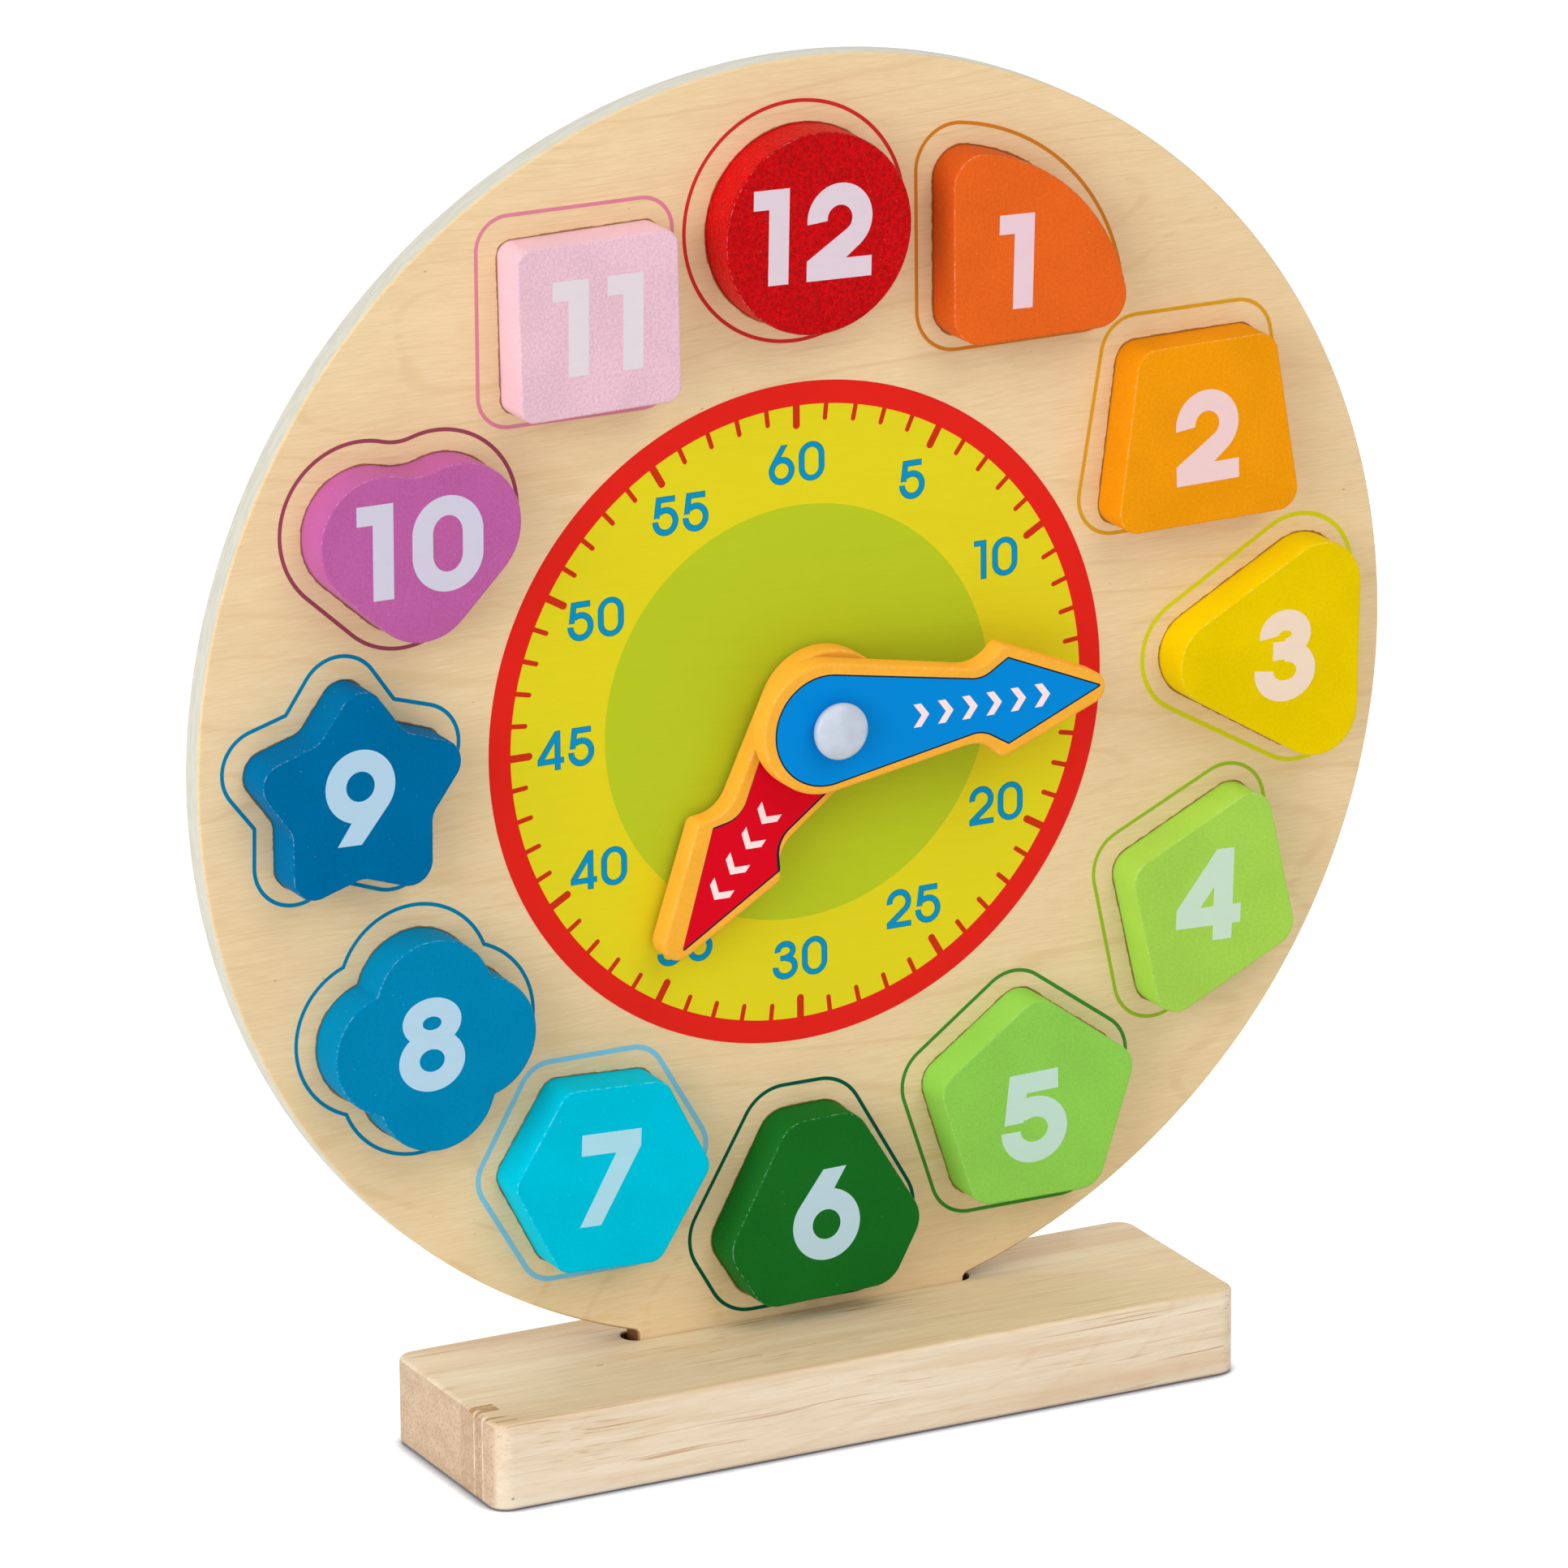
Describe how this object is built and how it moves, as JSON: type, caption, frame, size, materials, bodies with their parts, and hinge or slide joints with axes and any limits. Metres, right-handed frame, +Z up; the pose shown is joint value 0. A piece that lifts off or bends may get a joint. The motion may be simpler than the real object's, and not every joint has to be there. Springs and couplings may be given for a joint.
{
  "type": "wooden teaching clock",
  "caption": "Round wooden teaching clock on a slotted stand, with arrow hands that turn on a domed rivet and lift-out number blocks in geometric shapes set round the dial.",
  "frame": {"origin": "centre of the bounding box at its base: midway across the round board and midway through the stand's depth, on the surface that the stand rests on", "axes": "+Z up, -Y out of the clock's face towards the reader, +X to the reader's right"},
  "size_m": [0.2899, 0.0522, 0.3058],
  "materials": {
    "planed_pine": "bare, planed smooth, pale with long brown grain streaks",
    "printed_plywood": "clear satin varnish over printed ink on pale plywood",
    "plain_plywood": "bare, sanded",
    "amber_paint": "satin paint",
    "white_plastic": "moulded, slightly translucent",
    "orange_paint": "satin paint",
    "golden_paint": "satin paint",
    "yellow_paint": "satin paint",
    "lime_paint": "satin paint",
    "leaf_paint": "satin paint",
    "forest_paint": "satin paint",
    "cyan_paint": "satin paint",
    "sky_paint": "satin paint",
    "blue_paint": "satin paint",
    "orchid_paint": "satin paint",
    "pink_paint": "satin paint",
    "red_paint": "satin paint"
  },
  "bodies": {
    "stand": {"stand_base": "planed_pine"},
    "clock_board": {"face_panel": "printed_plywood", "backing_panel": "plain_plywood", "pivot_rivet": "white_plastic", "rear_cap": "white_plastic", "washer_under_hour_hand": "white_plastic", "washer_between_hands": "white_plastic"},
    "hour_hand": {"hour_hand": "amber_paint"},
    "minute_hand": {"minute_hand": "amber_paint"},
    "block_01": {"block_01_quarter_round": "orange_paint"},
    "block_02": {"block_02_trapezoid": "golden_paint"},
    "block_03": {"block_03_triangle": "yellow_paint"},
    "block_04": {"block_04_rhombus": "lime_paint"},
    "block_05": {"block_05_pentagon": "leaf_paint"},
    "block_06": {"block_06_cut_triangle": "forest_paint"},
    "block_07": {"block_07_hexagon": "cyan_paint"},
    "block_08": {"block_08_flower": "sky_paint"},
    "block_09": {"block_09_star": "blue_paint"},
    "block_10": {"block_10_heart": "orchid_paint"},
    "block_11": {"block_11_square": "pink_paint"},
    "block_12": {"block_12_circle": "red_paint"}
  },
  "joints": [
    {"name": "board_lift", "type": "slide", "parent": "stand", "child": "clock_board", "axis": [0, 0, 1], "range_m": [0, 0.016]},
    {"name": "hour_turn", "type": "hinge", "parent": "clock_board", "child": "hour_hand", "pos_m": [0.0001, 0.0034, 0.1591], "axis": [0, 1, 0], "continuous": true},
    {"name": "minute_turn", "type": "hinge", "parent": "clock_board", "child": "minute_hand", "pos_m": [0.0001, -0.0041, 0.1591], "axis": [0, 1, 0], "continuous": true},
    {"name": "block_01_lift", "type": "slide", "parent": "clock_board", "child": "block_01", "axis": [0, -1, 0], "range_m": [0, 0.012]},
    {"name": "block_02_lift", "type": "slide", "parent": "clock_board", "child": "block_02", "axis": [0, -1, 0], "range_m": [0, 0.012]},
    {"name": "block_03_lift", "type": "slide", "parent": "clock_board", "child": "block_03", "axis": [0, -1, 0], "range_m": [0, 0.012]},
    {"name": "block_04_lift", "type": "slide", "parent": "clock_board", "child": "block_04", "axis": [0, -1, 0], "range_m": [0, 0.012]},
    {"name": "block_05_lift", "type": "slide", "parent": "clock_board", "child": "block_05", "axis": [0, -1, 0], "range_m": [0, 0.012]},
    {"name": "block_06_lift", "type": "slide", "parent": "clock_board", "child": "block_06", "axis": [0, -1, 0], "range_m": [0, 0.012]},
    {"name": "block_07_lift", "type": "slide", "parent": "clock_board", "child": "block_07", "axis": [0, -1, 0], "range_m": [0, 0.012]},
    {"name": "block_08_lift", "type": "slide", "parent": "clock_board", "child": "block_08", "axis": [0, -1, 0], "range_m": [0, 0.012]},
    {"name": "block_09_lift", "type": "slide", "parent": "clock_board", "child": "block_09", "axis": [0, -1, 0], "range_m": [0, 0.012]},
    {"name": "block_10_lift", "type": "slide", "parent": "clock_board", "child": "block_10", "axis": [0, -1, 0], "range_m": [0, 0.012]},
    {"name": "block_11_lift", "type": "slide", "parent": "clock_board", "child": "block_11", "axis": [0, -1, 0], "range_m": [0, 0.012]},
    {"name": "block_12_lift", "type": "slide", "parent": "clock_board", "child": "block_12", "axis": [0, -1, 0], "range_m": [0, 0.012]}
  ]
}
